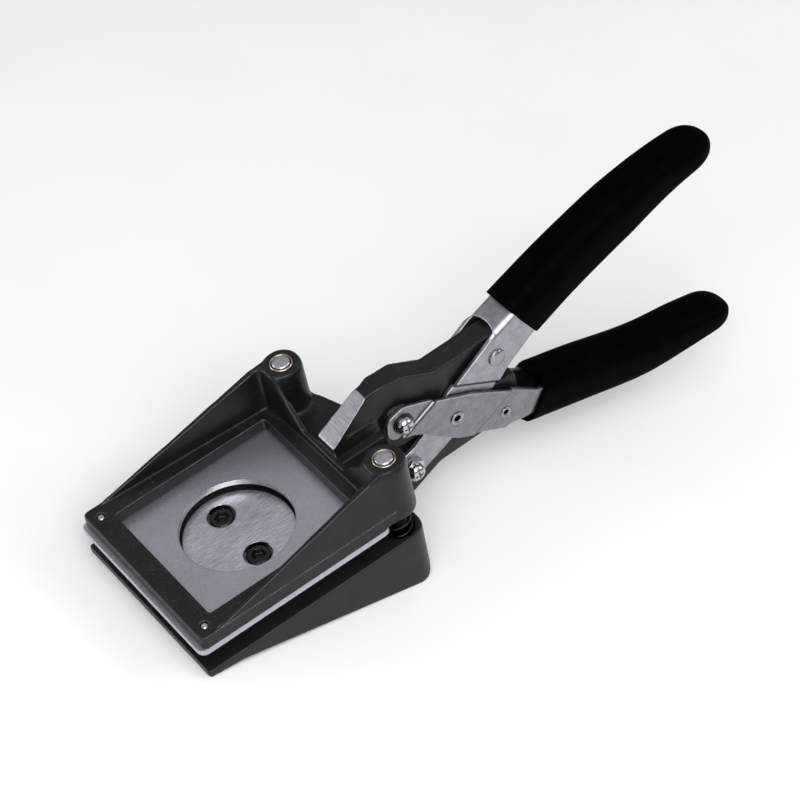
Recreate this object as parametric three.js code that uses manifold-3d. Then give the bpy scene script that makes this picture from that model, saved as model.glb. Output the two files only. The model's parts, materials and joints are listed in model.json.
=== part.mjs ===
// Hand-held circle punch for paper discs: two die-cast jaws, a steel punch and die plate,
// two guide pins, and a pair of crossed channel handles that close the jaws in parallel.
//
// Millimetres. The origin is the centre of the punch's top face, +Z is the punch axis,
// +X points back to the handles and +Y to the left side of a person who holds them.

import * as THREE from 'three';
import { mergeVertices } from 'three/addons/utils/BufferGeometryUtils.js';
import { ConvexGeometry } from 'three/addons/geometries/ConvexGeometry.js';
import Module from 'manifold-3d';

const wasm = await Module();
wasm.setup();

// ---------------------------------------------------------------- driving dimensions

const seatGap = 0.05;          // between pieces that sit flat on each other

const punch = { radius: 17.35, thickness: 7, screwY: 9.7 };
const punchScrew = { headRadius: 3.7, headHeight: 3.4, sunk: 0.5, shankRadius: 2.5, socketAcross: 4 };
const counterboreRadius = 4.4;

const die = { bottom: 2.4, top: 4.4, holeRadius: 17.5, front: -34.9, back: 33.1, halfWidth: 32.5 };
const dieScrew = { frontX: -29.6, frontY: 27.6, backX: 30.2, backY: 20, radius: 1.25, headRadius: 2.4 };

const frame = { top: 8.7, front: -33.4, halfWidth: 32.1 };
const frameWindow = { front: -26, back: 28.2, halfWidth: 25.15 };

const base = { top: -5.15, front: -34.3, frontBottom: -7.6, halfWidth: 32.5, back: 45.2 };
const wedge = { start: -22.2, depth: -9.05, slope: 0.2855 };
const punchPocketDepth = 1.77;

const pin = { x: 38.65, y: 26.07, radius: 2.9, top: 25.9, bottom: -18 };
const boss = { top: 25.2, topRadius: 6.3, footRadius: 6.7 };
const bush = { innerRadius: 3, outerRadius: 3.6, bottom: 13.2 };
const spring = { radius: 4, wire: 0.45, turns: 7, bottom: -10, top: 12.9, bore: 4.95 };

// The linkage is a mirror image about this height, apart from the centre rivet.
const linkMiddle = -0.7;
const jawPivot = { x: 57.5, rise: 10.25 };
const slidePivot = { x: 93.2, rise: 12.3 };
const centrePivot = { x: 75.4, z: -1.2 };
const slideTravel = 2.3;       // how far the slide rivets run along their slots

const armHalfWidth = 3.9;
const noseHalfWidth = 3;
const armEnd = 101.5;
const tailEnd = 100.5;

const sheet = 1.5;             // thickness of the handle pressings
const handleInner = 4.95;      // half the width inside each channel
const crossInner = 4.15;       // inside the upper handle where it passes between the lower one's sides
const bridgeInner = 5.95;      // inside the lower handle where it passes outside the upper one

const upperRivet = { radius: 2.3, headRadius: 3, dome: 1.3 };
const lowerRivet = { radius: 1.5, rimRadius: 1.95, rim: 0.4, holeRadius: 0.9 };
const centreRivet = { radius: 1.75, rimRadius: 2.35, rim: 0.45, holeRadius: 1.15 };
const slotClearance = 0.4;

const pivotScrew = { radius: 2, headRadius: 2.9, headHeight: 2.5, nutAcross: 7, nutHeight: 3.2 };
const pivotWasher = { radius: 3.5, thickness: 0.5 };

const gripHalfWidth = 7.6;
const webWall = 3.2;           // vinyl over the channel's web
const openWall = 3.6;          // and over its open edge

// ---------------------------------------------------------------- materials

const materials = {
  casting: { color: 0x2a2a2c, roughness: 0.45, metalness: 0.3 },
  dieSteel: { color: 0x9a98a2, roughness: 0.3, metalness: 0.9 },
  punchSteel: { color: 0xb6b3b8, roughness: 0.38, metalness: 0.9 },
  zinc: { color: 0xb4afb6, roughness: 0.35, metalness: 0.85 },
  blackOxide: { color: 0x1c1c1e, roughness: 0.4, metalness: 0.7 },
  bronze: { color: 0xa98f68, roughness: 0.35, metalness: 0.9 },
  pinSteel: { color: 0xd0ced4, roughness: 0.2, metalness: 1 },
  springSteel: { color: 0x8e8e92, roughness: 0.35, metalness: 0.9 },
  vinyl: { color: 0x0b0b0c, roughness: 0.5, metalness: 0 },
};

function makeMesh(name, geometry, finish) {
  const mesh = new THREE.Mesh(geometry, new THREE.MeshStandardMaterial(materials[finish]));
  mesh.name = name;
  return mesh;
}

// ---------------------------------------------------------------- solids

function toSolid(geometry) {
  const plain = geometry.clone();
  plain.deleteAttribute('normal');
  plain.deleteAttribute('uv');
  const merged = mergeVertices(plain, 1e-4);
  return new wasm.Manifold(new wasm.Mesh({
    numProp: 3,
    vertProperties: new Float32Array(merged.attributes.position.array),
    triVerts: new Uint32Array(merged.index.array),
  }));
}

function toGeometry(solid) {
  const { vertProperties, triVerts } = solid.getMesh();
  const geometry = new THREE.BufferGeometry();
  geometry.setAttribute('position', new THREE.Float32BufferAttribute(vertProperties, 3));
  geometry.setIndex(new THREE.Uint32BufferAttribute(triVerts, 1));
  geometry.computeVertexNormals();
  return geometry;
}

const sum = (...solids) => solids.reduce((a, b) => a.add(b));
const cut = (solid, ...tools) => tools.reduce((a, b) => a.subtract(b), solid);

const axesOf = {
  plan: new THREE.Matrix4(),
  side: new THREE.Matrix4().makeBasis(
    new THREE.Vector3(1, 0, 0), new THREE.Vector3(0, 0, 1), new THREE.Vector3(0, -1, 0)),
  cross: new THREE.Matrix4().makeBasis(
    new THREE.Vector3(0, 1, 0), new THREE.Vector3(0, 0, 1), new THREE.Vector3(1, 0, 0)),
};

function extrude(shape, depth, segments = 6) {
  return new THREE.ExtrudeGeometry(shape, { depth, bevelEnabled: false, curveSegments: segments });
}

// A plan outline in x and y, from one height to another.
function planSolid(shape, low, high, segments) {
  return toSolid(extrude(shape, high - low, segments).translate(0, 0, low));
}

// A side outline in x and z, from one y to another.
function sideSolid(shape, right, left, segments) {
  return toSolid(extrude(shape, left - right, segments).applyMatrix4(axesOf.side).translate(0, left, 0));
}

// An outline across the tool in y and z, from one x to another.
function crossSolid(shape, front, back, segments) {
  return toSolid(extrude(shape, back - front, segments).applyMatrix4(axesOf.cross).translate(front, 0, 0));
}

// Corners are [x, y, radius]; each rounded corner is one curve tangent to both edges.
function roundedShape(corners) {
  const shape = new THREE.Shape();
  corners.forEach(([x, y, radius = 0], i) => {
    const corner = new THREE.Vector2(x, y);
    const before = new THREE.Vector2(...corners.at(i - 1).slice(0, 2)).sub(corner);
    const after = new THREE.Vector2(...corners[(i + 1) % corners.length].slice(0, 2)).sub(corner);
    const half = Math.acos(before.dot(after) / (before.length() * after.length())) / 2;
    const back = radius > 0 ? radius / Math.tan(half) : 0;
    const start = before.setLength(back).add(corner);
    const end = after.setLength(back).add(corner);
    if (i === 0) shape.moveTo(start.x, start.y);
    else shape.lineTo(start.x, start.y);
    if (radius > 0) shape.quadraticCurveTo(x, y, end.x, end.y);
  });
  shape.closePath();
  return shape;
}

const mirrorY = (corners) => corners.concat(corners.map(([x, y, r]) => [x, -y, r]).reverse());

function circleShape(x, y, radius) {
  return new THREE.Shape().absarc(x, y, radius, 0, 2 * Math.PI);
}

function slotShape(x, y, radius, length) {
  const shape = new THREE.Shape();
  shape.absarc(x, y, radius, Math.PI / 2, 1.5 * Math.PI);
  shape.absarc(x + length, y, radius, 1.5 * Math.PI, 2.5 * Math.PI);
  shape.closePath();
  return shape;
}

// A turned solid about +Z from a profile of [radius, height] that starts and ends on the axis.
function turned(profile, sides = 32) {
  return new THREE.LatheGeometry(profile.map(([r, z]) => new THREE.Vector2(r, z)), sides)
    .rotateX(Math.PI / 2);
}

function post(x, y, radius, low, high, sides = 32) {
  const profile = [[0, low], [radius, low], [radius, high], [0, high]];
  return toSolid(turned(profile, sides).translate(x, y, 0));
}

function crossHole(x, z, radius) {
  return sideSolid(circleShape(x, z, radius), -12, 12, 12);
}

function slideSlot(flip, rivetRadius) {
  const height = linkMiddle + flip * slidePivot.rise;
  const slot = slotShape(slidePivot.x, height, rivetRadius + slotClearance, slideTravel);
  return sideSolid(slot, -9, 9, 10);
}

// ---------------------------------------------------------------- jaw castings

// Side outline of the arm that the head carries back to the handles.
// Heights are above linkMiddle, so that the tail can share the shape of the rear end.
const rearEnd = (end, top) => [[88, top, 10], [end - 4, top, 2], [end, top - 4, 2]];

function atLink(points, flip) {
  return points.map(([x, rise, radius]) => [x, linkMiddle + flip * rise, radius]);
}

function armShape() {
  return roundedShape(atLink([
    [34.2, 5.7], [34.2, 14.7], [48.7, 24.9], [53.5, 26.1, 3], [62, 25.1, 1], [72.6, 19.2, 2],
    ...rearEnd(armEnd, 19.5), [armEnd, 6.6, 2], [72, 5.8, 3], [66.5, -2.1, 4], [52, -2.1, 4], [46, 5.7],
  ], 1));
}

// The tail of the base follows the same line, upside down, with a heel between the handles.
function tailShape() {
  return roundedShape(atLink([
    [36, 5.8], [36, 20.3], [46, 23.6, 4], [57, 24, 8], [69, 18.2, 6],
    ...rearEnd(tailEnd, 17.7), [tailEnd, 1.6, 1.5], [92, 1.6, 4], [86, 6.4, 4], [66, 6.4, 3],
  ], -1));
}

function armPlan() {
  return roundedShape(mirrorY([
    [34.2, -noseHalfWidth], [49, -noseHalfWidth, 6], [62, -armHalfWidth, 6], [armEnd, -armHalfWidth],
  ]));
}

function headArm() {
  const side = sideSolid(armShape(), -9, 9);
  const upper = side.intersect(planSolid(armPlan(), -4, 26));
  const footShape = roundedShape([
    [-6.2, 8.4], [6.2, 8.4], [4.6, 10.8, 1], [2.9, 24.6], [-2.9, 24.6], [-4.6, 10.8, 1],
  ]);
  const foot = side.intersect(crossSolid(footShape, 34.2, 51.6));
  const bead = sideSolid(roundedShape([[40, 15], [53, 15], [53, 15.8], [40, 15.8]]), -4.5, 4.5);
  const hub = sideSolid(circleShape(jawPivot.x, linkMiddle + jawPivot.rise, 5), -4.6, 4.6, 14);
  return sum(upper, foot, bead, hub);
}

function framePlateShape() {
  return roundedShape(mirrorY([
    [frame.front, -frame.halfWidth, 2], [44.6, -frame.halfWidth, 6.2], [45.2, -25.6, 3], [51.8, -4.6, 1],
  ]));
}

// Side wall between the front rail and the guide boss: thin along the top, drafted on both faces.
function cheek(side) {
  const low = frame.top - 1;
  const outerFoot = frame.halfWidth;
  const innerFoot = 28.3;
  const outerTop = 31;
  const innerTop = 28.9;
  const points = [];
  for (const [x, z, share] of [[-27, frame.top, 0], [33, boss.top, 1], [pin.x, boss.top, 1]]) {
    points.push(new THREE.Vector3(x, side * THREE.MathUtils.lerp(outerFoot, outerTop, share), z));
    points.push(new THREE.Vector3(x, side * THREE.MathUtils.lerp(outerFoot - 1, innerTop, share), z));
  }
  for (const x of [-27, pin.x]) {
    points.push(new THREE.Vector3(x, side * outerFoot, low));
    points.push(new THREE.Vector3(x, side * (x < 0 ? outerFoot - 1 : innerFoot), low));
  }
  return toSolid(new ConvexGeometry(points));
}

// Wall across the tool behind the window: low in the middle, rising to the two bosses.
function crossWallOutline() {
  const high = boss.top - 0.3;
  const half = [[-30.4, frame.top - 1], [-30.4, high], [-22.6, high, 1], [-10.4, 11.4, 2]];
  const other = half.map(([y, z, r]) => [-y, z, r]).reverse();
  return roundedShape([...half, ...other]);
}

function headBoss(side) {
  const profile = [[0, die.top + seatGap], [boss.footRadius, die.top + seatGap],
    [boss.topRadius, boss.top], [0, boss.top]];
  return toSolid(turned(profile, 40).translate(pin.x, side * pin.y, 0));
}

function headCasting() {
  const bottom = die.top + seatGap;
  const plate = planSolid(framePlateShape(), bottom, frame.top);
  const opening = planSolid(roundedShape(mirrorY([
    [frameWindow.front, -frameWindow.halfWidth, 1], [frameWindow.back, -frameWindow.halfWidth, 1],
  ])), 0, 12);
  const wall = crossSolid(crossWallOutline(), 32.5, 34.2);
  let solid = sum(cut(plate, opening), wall, headArm(),
    cheek(1), cheek(-1), headBoss(1), headBoss(-1));
  for (const side of [1, -1]) {
    solid = cut(solid,
      post(pin.x, side * pin.y, bush.outerRadius + 0.03, 0, 30),
      post(pin.x, side * pin.y, spring.bore, 0, spring.top + 0.2),
      post(dieScrew.frontX, side * dieScrew.frontY, dieScrew.radius + 0.12, 0, 12, 16),
      post(dieScrew.backX, side * dieScrew.backY, dieScrew.radius + 0.12, 0, frame.top - 0.9, 16));
  }
  return cut(solid,
    crossHole(jawPivot.x, linkMiddle + jawPivot.rise, 2.1),
    slideSlot(1, upperRivet.radius));
}

function baseCasting() {
  const rear = base.back - 1;
  const profile = roundedShape([
    [base.front, base.top], [base.front, base.frontBottom, 0.8], [wedge.start, wedge.depth, 4],
    [rear, wedge.depth - wedge.slope * (rear - wedge.start), 5], [base.back, base.top],
  ]);
  const plan = roundedShape(mirrorY([
    [base.front, -base.halfWidth, 1.2], [base.back, -base.halfWidth, 6.2],
    [base.back, -20, 3], [41.9, -14, 3],
  ]));
  const body = sideSolid(profile, -40, 40).intersect(planSolid(plan, -35, 0, 8));
  const tailPlan = roundedShape(mirrorY([
    [36, -14], [43, -10, 4], [51.4, -armHalfWidth, 3], [tailEnd, -armHalfWidth],
  ]));
  const tail = sideSolid(tailShape(), -20, 20).intersect(planSolid(tailPlan, -30, 0));
  let solid = sum(body, tail);
  solid = cut(solid, post(0, 0, punch.radius + 0.1, base.top - punchPocketDepth, 5, 72));
  for (const side of [1, -1]) {
    solid = cut(solid,
      post(pin.x, side * pin.y, pin.radius + 0.03, pin.bottom - 0.1, 0),
      post(pin.x, side * pin.y, spring.bore, spring.bottom - 0.1, 0),
      post(0, side * punch.screwY, punchScrew.shankRadius + 0.05, -12.6, 0, 20));
  }
  return cut(solid,
    crossHole(jawPivot.x, linkMiddle - jawPivot.rise, 2.1),
    slideSlot(-1, lowerRivet.radius));
}

// ---------------------------------------------------------------- cutting pair

function diePlate() {
  const outline = roundedShape(mirrorY([[die.front, -die.halfWidth, 3], [die.back, -die.halfWidth, 3]]));
  const plate = planSolid(outline, die.bottom, die.top);
  let solid = cut(plate, post(0, 0, die.holeRadius, 0, 6, 96));
  for (const side of [1, -1]) {
    for (const [x, y] of [[dieScrew.frontX, dieScrew.frontY], [dieScrew.backX, dieScrew.backY]]) {
      const hole = dieScrewProfile(0.12, 3);
      solid = cut(solid, toSolid(turned(hole, 16).translate(x, side * y, die.bottom)));
    }
  }
  return solid;
}

// Countersunk head at the plate's underside, shank up into the rail; heights above the underside.
function dieScrewProfile(clearance, length) {
  const head = dieScrew.headRadius + clearance;
  const shank = dieScrew.radius + clearance;
  const low = -clearance / 2;
  return [[0, low], [head, low], [head, 0.1], [shank, 1.3], [shank, length], [0, length]];
}

function dieScrewGeometry(length) {
  const profile = dieScrewProfile(0, length);
  profile.splice(-2, 2, [dieScrew.radius, length - 0.4], [dieScrew.radius - 0.4, length], [0, length]);
  return turned(profile, 16);
}

function punchDisc() {
  const chamfer = 0.15;
  const profile = [[0, -punch.thickness + 0.1], [punch.radius - 0.4, -punch.thickness + 0.1],
    [punch.radius, -punch.thickness + 0.5], [punch.radius, -chamfer], [punch.radius - chamfer, 0], [0, 0]];
  let solid = toSolid(turned(profile, 96));
  const { headHeight, sunk, shankRadius } = punchScrew;
  for (const side of [1, -1]) {
    solid = cut(solid,
      post(0, side * punch.screwY, counterboreRadius, -sunk - headHeight - seatGap, 2, 28),
      post(0, side * punch.screwY, shankRadius + 0.1, -10, 0, 20));
  }
  return solid;
}

// Low-head socket cap screw standing on its tip at z = 0, head upwards.
function capScrew(length) {
  const { headRadius, headHeight, shankRadius, socketAcross } = punchScrew;
  const top = length + headHeight;
  const body = toSolid(turned([[0, 0], [shankRadius - 0.5, 0], [shankRadius, 0.5], [shankRadius, length],
    [headRadius, length], [headRadius, top - 0.4], [headRadius - 0.4, top], [0, top]], 28));
  const socket = new THREE.CylinderGeometry(socketAcross / Math.sqrt(3), socketAcross / Math.sqrt(3), 4, 6)
    .rotateX(Math.PI / 2).translate(0, 0, top);
  return cut(body, toSolid(socket));
}

// ---------------------------------------------------------------- guides and springs

function guidePin() {
  const length = pin.top - pin.bottom;
  return turned([[0, 0], [pin.radius - 0.6, 0], [pin.radius, 0.6], [pin.radius, length - 0.9],
    [pin.radius - 0.25, length - 0.35], [pin.radius - 0.9, length - 0.08], [0, length]], 32);
}

function guideBush() {
  const height = boss.top + 0.08 - bush.bottom;
  const { innerRadius, outerRadius } = bush;
  const chamfer = 0.2;
  return turned([[innerRadius, 0], [outerRadius, 0], [outerRadius, height - chamfer],
    [outerRadius - chamfer, height], [innerRadius + chamfer, height], [innerRadius, height - chamfer],
    [innerRadius, 0]], 36);
}

// Helix whose pitch grows from nearly closed at both ends to an open pitch in the middle.
class Coil extends THREE.Curve {
  getPoint(share, target = new THREE.Vector3()) {
    const turn = share * spring.turns * 2 * Math.PI;
    const climb = 0.4 * share + 0.6 * THREE.MathUtils.smoothstep(share, 0, 1);
    const height = THREE.MathUtils.lerp(spring.bottom + spring.wire, spring.top - spring.wire, climb);
    return target.set(spring.radius * Math.cos(turn), spring.radius * Math.sin(turn), height);
  }
}

function returnSpring() {
  const section = circleShape(0, 0, spring.wire);
  return new THREE.ExtrudeGeometry(section, {
    extrudePath: new Coil(), steps: spring.turns * 16, curveSegments: 3, bevelEnabled: false,
  });
}

// ---------------------------------------------------------------- handles

// Each handle is drawn in x and height away from linkMiddle; flip is 1 for the upper one, which
// rises from the lower pivot, and -1 for the lower one, which is nearly its mirror image.
const handles = {
  upper: {
    flip: 1,
    centre: [[104.9, 18.6], [122, 25.6], [146, 33.4], [163, 37.7], [183.2, 40]],
    half: [10, 9.5, 9, 6.8, 4.4],
    webRise: 21.3,
    slant: -0.12,
    openEdge: [[97.1, 5.9, 3], [91, 0.3, 3], [83.3, -4.8]],
  },
  lower: {
    flip: -1,
    centre: [[105, 17.1], [123.5, 22.5], [148, 29.9], [166, 32.2], [184.6, 34.6]],
    half: [8.6, 8.6, 7.8, 6.4, 3.6],
    webRise: 19.9,
    slant: 0.28,
    openEdge: [[97.5, 5.2, 3], [83.3, -4.4]],
  },
};

const channelEnd = 0.87;       // share of the grip's length that the steel reaches

function centreCurve({ centre, flip }) {
  const points = centre.map(([x, rise]) => new THREE.Vector3(x, 0, linkMiddle + flip * rise));
  return new THREE.CatmullRomCurve3(points);
}

function gripHalf({ half }, share) {
  const place = share * (half.length - 1);
  const i = Math.min(Math.floor(place), half.length - 2);
  return THREE.MathUtils.lerp(half[i], half[i + 1], place - i);
}

// Points along one edge of the handle; outwards is 1 for the edge away from the other handle.
function edgeOf(handle, outwards, inset, count = 9) {
  const curve = centreCurve(handle);
  return Array.from({ length: count + 1 }, (_, i) => {
    const share = channelEnd * i / count;
    const at = curve.getPoint(share);
    const along = curve.getTangent(share);
    const away = outwards * handle.flip * (gripHalf(handle, share) - inset);
    return [at.x - along.z * away, at.z + along.x * away];
  });
}

function sideOutline(handle) {
  const near = atLink([
    [51.4, -6.2, 4.4], [59.6, -3.9, 2.5], [63.4, -1.4, 2], [68.6, 4, 3], [75, 9.4, 6], [94, handle.webRise],
  ], handle.flip);
  const back = atLink([
    ...handle.openEdge, [69.2, -11.6], [58.8, -16.2, 4], [52.2, -14.4, 4],
  ], handle.flip);
  const outer = edgeOf(handle, 1, webWall);
  const inner = edgeOf(handle, -1, openWall).reverse();
  return roundedShape([...near, ...outer, ...inner, ...back]);
}

// One side of a channel as a sheet seen edge on. It steps sideways along parallel lines that lean
// at the given angle; each step is [distance above the centre rivet, y below it, y above it].
function steppedSheet(side, lean, steps) {
  const run = 0.6;
  const reach = 160;
  const inner = [[-reach, steps[0][1]]];
  for (const [distance, before, after] of steps) {
    inner.push([distance - run / 2, before], [distance + run / 2, after]);
  }
  inner.push([reach, steps.at(-1)[2]]);
  const outer = inner.map(([distance, y]) => [distance, y + sheet]).reverse();
  const angle = THREE.MathUtils.degToRad(lean);
  const across = new THREE.Vector3(-Math.sin(angle), 0, Math.cos(angle));
  const along = new THREE.Vector3(-side * Math.cos(angle), 0, -side * Math.sin(angle));
  const frameOfSheet = new THREE.Matrix4().makeBasis(across, new THREE.Vector3(0, side, 0), along);
  return toSolid(extrude(roundedShape([...inner, ...outer]), 2 * reach)
    .translate(0, 0, -reach)
    .applyMatrix4(frameOfSheet)
    .translate(centrePivot.x, 0, centrePivot.z));
}

// Web that joins the two sides along the outer edge, from just before the grip to the steel's end.
function channelWeb(handle) {
  const rise = handle.webRise;
  const start = atLink([[94, rise], [94 + 0.5 * sheet, rise - 0.87 * sheet]], handle.flip);
  const web = roundedShape([start[0], ...edgeOf(handle, 1, webWall),
    ...edgeOf(handle, 1, webWall + sheet).reverse(), start[1]]);
  return sideSolid(web, -handleInner - sheet, handleInner + sheet);
}

function pressing(handle, lean, steps, holes) {
  const outline = sideSolid(sideOutline(handle), -12, 12);
  const sides = [1, -1].map((side) => steppedSheet(side, lean, steps).intersect(outline));
  return cut(sum(...sides, channelWeb(handle)), ...holes);
}

function upperHandle() {
  return pressing(handles.upper, -31, [[11, crossInner, handleInner]], [
    crossHole(jawPivot.x, linkMiddle - jawPivot.rise, pivotScrew.radius + 0.1),
    crossHole(slidePivot.x, linkMiddle + slidePivot.rise, upperRivet.radius + 0.1),
    crossHole(centrePivot.x, centrePivot.z, centreRivet.radius + 0.1),
  ]);
}

function lowerHandle() {
  const steps = [[-13.1, handleInner, bridgeInner], [13.7, bridgeInner, handleInner]];
  return pressing(handles.lower, 27, steps, [
    crossHole(jawPivot.x, linkMiddle + jawPivot.rise, pivotScrew.radius + 0.1),
    crossHole(slidePivot.x, linkMiddle - slidePivot.rise, lowerRivet.radius + 0.1),
    crossHole(centrePivot.x, centrePivot.z, centreRivet.radius + 0.3),
  ]);
}

// Room for the steel inside the sleeve, run out through the sleeve's front face.
function gripRoom(handle) {
  const outer = edgeOf(handle, 1, webWall - 0.2);
  const inner = edgeOf(handle, -1, openWall - 0.2);
  const ahead = ([[x, z], [nextX, nextZ]]) => [2 * x - nextX, 2 * z - nextZ];
  const outline = roundedShape([ahead(outer), ...outer, ...inner.toReversed(), ahead(inner)]);
  const halfWidth = handleInner + sheet + 0.15;
  return sideSolid(outline, -halfWidth, halfWidth);
}

// Vinyl sleeve: a cylinder bent along the handle's centre curve, with a rounded-box section.
function grip(handle) {
  const curve = centreCurve(handle);
  const bent = new THREE.CylinderGeometry(1, 1, 1, 28, 22);
  const position = bent.attributes.position;
  const squareness = 2 / 3.2;
  for (let i = 0; i < position.count; i += 1) {
    const step = 0.5 - position.getY(i);
    const share = 1 - (1 - step) ** 1.35;
    const tip = Math.sqrt(Math.max(1 - Math.max((share - 0.88) / 0.122, 0) ** 2.4, 0.02));
    const slant = handle.slant * Math.max(1 - 5 * share, 0);
    const radius = Math.hypot(position.getX(i), position.getZ(i));
    const turn = Math.atan2(position.getZ(i), position.getX(i));
    const shaped = (value) => Math.sign(value) * Math.abs(value) ** squareness;
    const wide = radius * tip * gripHalfWidth * shaped(Math.cos(turn));
    const tall = radius * tip * gripHalf(handle, share) * shaped(Math.sin(turn));
    const at = curve.getPoint(share);
    const along = curve.getTangent(share);
    position.setXYZ(i, at.x + (along.x * slant - along.z) * tall, wide,
      at.z + (along.z * slant + along.x) * tall);
  }
  return cut(toSolid(bent), gripRoom(handle));
}

// ---------------------------------------------------------------- rivets and screws

// Fasteners across the tool are turned about +Z; across() lays them along Y, head to the right.
function domedRivet(outer, { radius, headRadius, dome }) {
  const cap = (sign) => [[headRadius, outer], [headRadius * 0.92, outer + dome * 0.5],
    [headRadius * 0.6, outer + dome * 0.9], [0, outer + dome]].map(([r, z]) => [r, sign * z]);
  return turned([...cap(-1).reverse(), [radius, -outer], [radius, outer], ...cap(1)], 28);
}

function tubularRivet(outer, { radius, rimRadius, rim, holeRadius }) {
  const middle = (rimRadius + holeRadius) / 2;
  const end = (sign) => [[radius, outer], [rimRadius, outer], [rimRadius, outer + rim * 0.6],
    [middle, outer + rim], [holeRadius, outer + rim * 0.4]].map(([r, z]) => [r, sign * z]);
  return turned([...end(1), ...end(-1).reverse(), [radius, outer]], 24);
}

// Pan head from -seat outwards, shank through to the tip at +tip, cross recess in the head.
function panScrew(seat, tip) {
  const { radius, headRadius, headHeight } = pivotScrew;
  const rim = [[0, 1], [0.35, 0.97], [0.65, 0.86], [0.88, 0.64], [0.98, 0.36], [1, 0.1], [1, 0]]
    .map(([out, up]) => [headRadius * out, -seat - headHeight * up]);
  const body = toSolid(turned([...rim, [radius, -seat], [radius, tip - 0.5], [radius - 0.5, tip],
    [0, tip]], 28));
  const bar = (x, y) => toSolid(new THREE.BoxGeometry(x, y, 2.6).translate(0, 0, -seat - headHeight));
  return cut(body, bar(headRadius, 0.6), bar(0.6, headRadius));
}

// Flat washer whose outer face is at -seat.
function washer(seat) {
  const { radius, thickness } = pivotWasher;
  const inner = pivotScrew.radius + 0.08;
  return turned([[inner, -seat], [radius - 0.1, -seat], [radius, -seat + 0.1],
    [radius, -seat + thickness], [inner, -seat + thickness], [inner, -seat]], 28);
}

function hexNut(seat, height) {
  const outer = pivotScrew.nutAcross / Math.sqrt(3);
  const blank = toSolid(new THREE.CylinderGeometry(outer, outer, height, 6).rotateX(Math.PI / 2)
    .translate(0, 0, seat + height / 2));
  const round = toSolid(turned([[0, seat - 1], [outer - 0.4, seat], [outer + 0.1, seat + 0.5],
    [outer + 0.1, seat + height - 0.5], [outer - 0.4, seat + height], [0, seat + height + 1]], 36));
  return cut(blank.intersect(round), post(0, 0, pivotScrew.radius + 0.08, -12, 12, 24));
}

// ---------------------------------------------------------------- assembly

function place(name, solidOrGeometry, finish, x = 0, y = 0, z = 0) {
  const geometry = solidOrGeometry.isBufferGeometry ? solidOrGeometry : toGeometry(solidOrGeometry);
  const mesh = makeMesh(name, geometry, finish);
  mesh.position.set(x, y, z);
  return mesh;
}

function across(name, solidOrGeometry, finish, x, z) {
  const mesh = place(name, solidOrGeometry, finish, x, 0, z);
  mesh.rotation.x = -Math.PI / 2;
  return mesh;
}

const sides = [['left', 1], ['right', -1]];
const upperPivotZ = linkMiddle + jawPivot.rise;
const lowerPivotZ = linkMiddle - jawPivot.rise;
const lobeOuter = handleInner + sheet + seatGap;
const crossOuter = crossInner + sheet + seatGap;

function baseGroup() {
  const group = new THREE.Group();
  group.add(place('base_casting', baseCasting(), 'casting'));
  group.add(place('punch_disc', punchDisc(), 'punchSteel'));
  const screwTip = -12.5;
  const screwLength = -screwTip - punchScrew.sunk - punchScrew.headHeight;
  for (const [side, sign] of sides) {
    group.add(place(`punch_screw_${side}`, capScrew(screwLength), 'blackOxide',
      0, sign * punch.screwY, screwTip));
    group.add(place(`guide_pin_${side}`, guidePin(), 'pinSteel', pin.x, sign * pin.y, pin.bottom));
    group.add(place(`return_spring_${side}`, returnSpring(), 'springSteel', pin.x, sign * pin.y));
  }
  const spacerHeight = 2.2;
  const headSeat = crossOuter + spacerHeight + 0.1;
  group.add(across('lower_pivot_screw', panScrew(headSeat, 9.8), 'pinSteel',
    jawPivot.x, lowerPivotZ));
  group.add(across('lower_pivot_spacer_nut', hexNut(-crossOuter - spacerHeight, spacerHeight), 'zinc',
    jawPivot.x, lowerPivotZ));
  group.add(across('lower_pivot_nut', hexNut(crossOuter, pivotScrew.nutHeight), 'zinc',
    jawPivot.x, lowerPivotZ));
  return group;
}

function headGroup() {
  const group = new THREE.Group();
  group.add(place('head_casting', headCasting(), 'casting'));
  group.add(place('die_plate', diePlate(), 'dieSteel'));
  for (const [side, sign] of sides) {
    group.add(place(`guide_bush_${side}`, guideBush(), 'bronze', pin.x, sign * pin.y, bush.bottom));
    group.add(place(`die_screw_front_${side}`, dieScrewGeometry(frame.top - die.bottom - 0.3), 'pinSteel',
      dieScrew.frontX, sign * dieScrew.frontY, die.bottom));
    group.add(place(`die_screw_back_${side}`, dieScrewGeometry(frame.top - die.bottom - 1.2), 'pinSteel',
      dieScrew.backX, sign * dieScrew.backY, die.bottom));
  }
  const washerSeat = lobeOuter + pivotWasher.thickness;
  group.add(across('upper_pivot_washer', washer(washerSeat), 'blackOxide',
    jawPivot.x, upperPivotZ));
  group.add(across('upper_pivot_screw', panScrew(washerSeat + seatGap, 10.5), 'pinSteel',
    jawPivot.x, upperPivotZ));
  group.add(across('upper_pivot_nut', hexNut(lobeOuter, pivotScrew.nutHeight), 'zinc',
    jawPivot.x, upperPivotZ));
  return group;
}

function upperHandleGroup() {
  const group = new THREE.Group();
  group.add(place('upper_handle_channel', upperHandle(), 'zinc'));
  group.add(place('upper_grip', grip(handles.upper), 'vinyl'));
  group.add(across('upper_slide_rivet', domedRivet(lobeOuter, upperRivet), 'zinc',
    slidePivot.x, linkMiddle + slidePivot.rise));
  group.add(across('centre_rivet', tubularRivet(bridgeInner + sheet + 0.1, centreRivet), 'zinc',
    centrePivot.x, centrePivot.z));
  return group;
}

function lowerHandleGroup() {
  const group = new THREE.Group();
  group.add(place('lower_handle_channel', lowerHandle(), 'zinc'));
  group.add(place('lower_grip', grip(handles.lower), 'vinyl'));
  group.add(across('lower_slide_rivet', tubularRivet(lobeOuter, lowerRivet), 'zinc',
    slidePivot.x, linkMiddle - slidePivot.rise));
  return group;
}

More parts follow.
